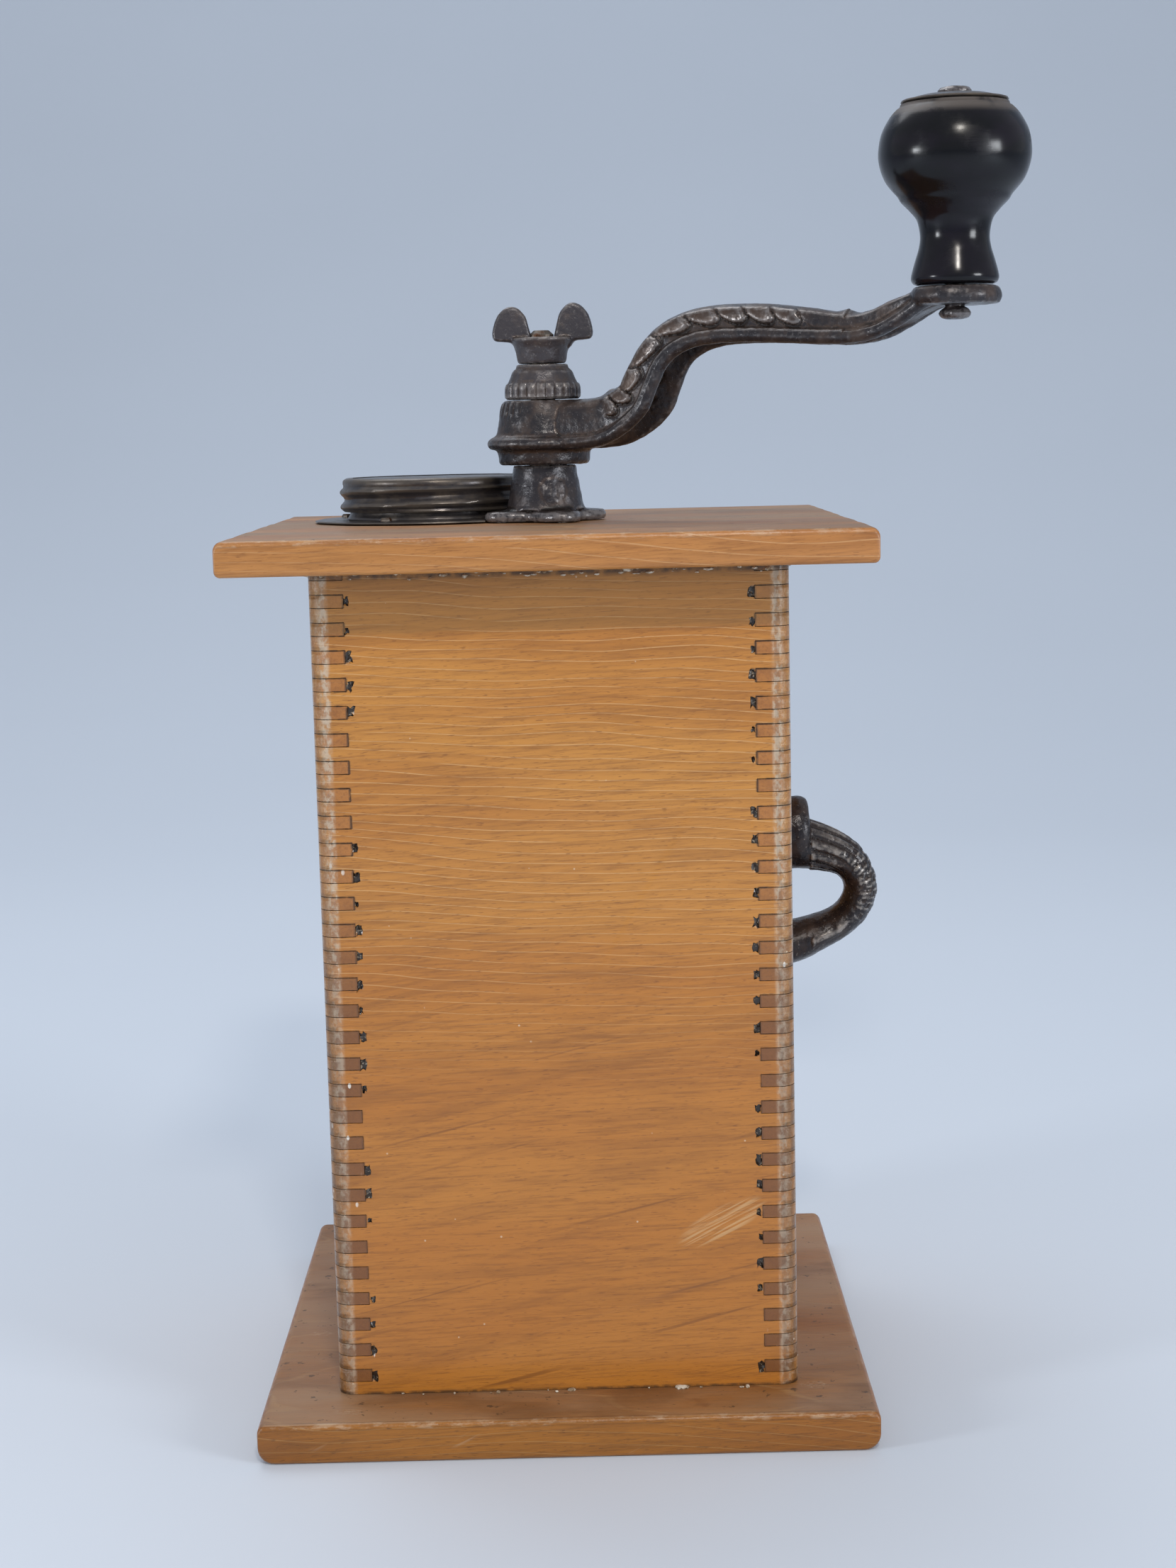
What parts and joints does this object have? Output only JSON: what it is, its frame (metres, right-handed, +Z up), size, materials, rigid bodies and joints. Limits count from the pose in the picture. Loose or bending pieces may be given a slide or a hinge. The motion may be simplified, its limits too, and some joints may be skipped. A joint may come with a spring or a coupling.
{
  "type": "hand crank coffee mill",
  "caption": "Finger-jointed wooden box coffee mill with a cast iron S-bend crank, screw-capped bean filler, side handle and a drawer for the grounds.",
  "frame": {"origin": "centre of the base board's underside, on the table", "axes": "+Z up, +Y the way the drawer opens, +X towards the side handle"},
  "size_m": [0.2132, 0.1694, 0.359],
  "materials": {
    "varnished_wood": "worn varnish over straight-grained hardwood",
    "bare_wood": "bare planed wood",
    "cast_iron": "old black paint worn to brown iron on the raised edges",
    "sheet_iron": "dark brown patina",
    "steel": "dull and slightly rusted",
    "black_lacquer": "glossy black lacquer over turned wood",
    "cork": "cut cork"
  },
  "bodies": {
    "case": {"base_board": "varnished_wood", "top_board": "varnished_wood", "back_board": "varnished_wood", "front_board": "varnished_wood", "front_stile_left": "varnished_wood", "front_stile_right": "varnished_wood", "handle_side_board": "varnished_wood", "filler_side_board": "varnished_wood", "hopper_floor": "bare_wood", "floor_cleat_left": "bare_wood", "floor_cleat_right": "bare_wood", "drawer_guide_left": "bare_wood", "drawer_guide_right": "bare_wood", "base_screw_1": "steel", "base_screw_2": "steel", "base_screw_3": "steel", "base_screw_4": "steel", "top_nail_1": "steel", "top_nail_2": "steel", "top_nail_3": "steel", "top_nail_4": "steel", "side_handle": "cast_iron", "handle_screw_upper": "steel", "handle_screw_lower": "steel", "filler_neck": "sheet_iron", "filler_neck_nail_1": "steel", "filler_neck_nail_2": "steel", "filler_neck_nail_3": "steel", "bearing_post": "cast_iron", "post_screw_1": "steel", "post_screw_2": "steel", "post_screw_3": "steel", "post_screw_4": "steel", "spindle_spring": "steel", "outer_burr": "cast_iron", "lower_bridge": "cast_iron", "housing_bolt_1": "steel", "housing_bolt_2": "steel", "housing_bolt_3": "steel", "housing_bolt_4": "steel"},
    "crank": {"crank_arm": "cast_iron", "knob_bolt": "steel"},
    "knob": {"crank_knob": "black_lacquer", "knob_washer": "sheet_iron"},
    "collar": {"adjusting_collar": "cast_iron"},
    "spindle": {"spindle": "steel", "spring_collar": "steel", "inner_burr": "cast_iron", "burr_pin": "steel"},
    "wing_nut": {"wing_nut": "cast_iron"},
    "liner": {"cap_liner": "cork"},
    "cap": {"screw_cap": "sheet_iron"},
    "drawer": {"drawer_front": "varnished_wood", "drawer_side_left": "bare_wood", "drawer_side_right": "bare_wood", "drawer_back": "bare_wood", "drawer_bottom": "bare_wood", "drawer_knob": "cast_iron", "drawer_knob_screw": "steel"}
  },
  "joints": [
    {"name": "crank_spin", "type": "hinge", "parent": "case", "child": "crank", "pos_m": [-0.001, 0, 0.3], "axis": [0, 0, 1], "continuous": true},
    {"name": "knob_spin", "type": "hinge", "parent": "crank", "child": "knob", "pos_m": [0.10875, -0.05118, 0.33], "axis": [0, 0, 1], "continuous": true},
    {"name": "adjuster_turn", "type": "hinge", "parent": "crank", "child": "collar", "pos_m": [-0.001, 0, 0.286], "axis": [0, 0, 1], "range_deg": [-180, 180]},
    {"name": "spindle_lift", "type": "slide", "parent": "crank", "child": "spindle", "axis": [0, 0, 1], "range_m": [-0.00079, 0.00079], "deforming": ["spindle_spring"]},
    {"name": "wing_nut_turn", "type": "hinge", "parent": "crank", "child": "wing_nut", "pos_m": [-0.001, 0, 0.3], "axis": [0, 0, 1], "range_deg": [0, 180]},
    {"name": "cap_lift", "type": "slide", "parent": "case", "child": "liner", "axis": [0, 0, 1], "range_m": [0, 0.00614]},
    {"name": "cap_turn", "type": "hinge", "parent": "liner", "child": "cap", "pos_m": [-0.034, 0.025, 0.255], "axis": [0, 0, 1], "range_deg": [0, 540]},
    {"name": "drawer_slide", "type": "slide", "parent": "case", "child": "drawer", "axis": [0, 1, 0], "range_m": [0, 0.1]}
  ],
  "couplings": [
    {"joint": "adjuster_turn", "follows": "spindle_lift", "rad_per_m": -3957.9},
    {"joint": "cap_turn", "follows": "cap_lift", "rad_per_m": 1532.5}
  ]
}
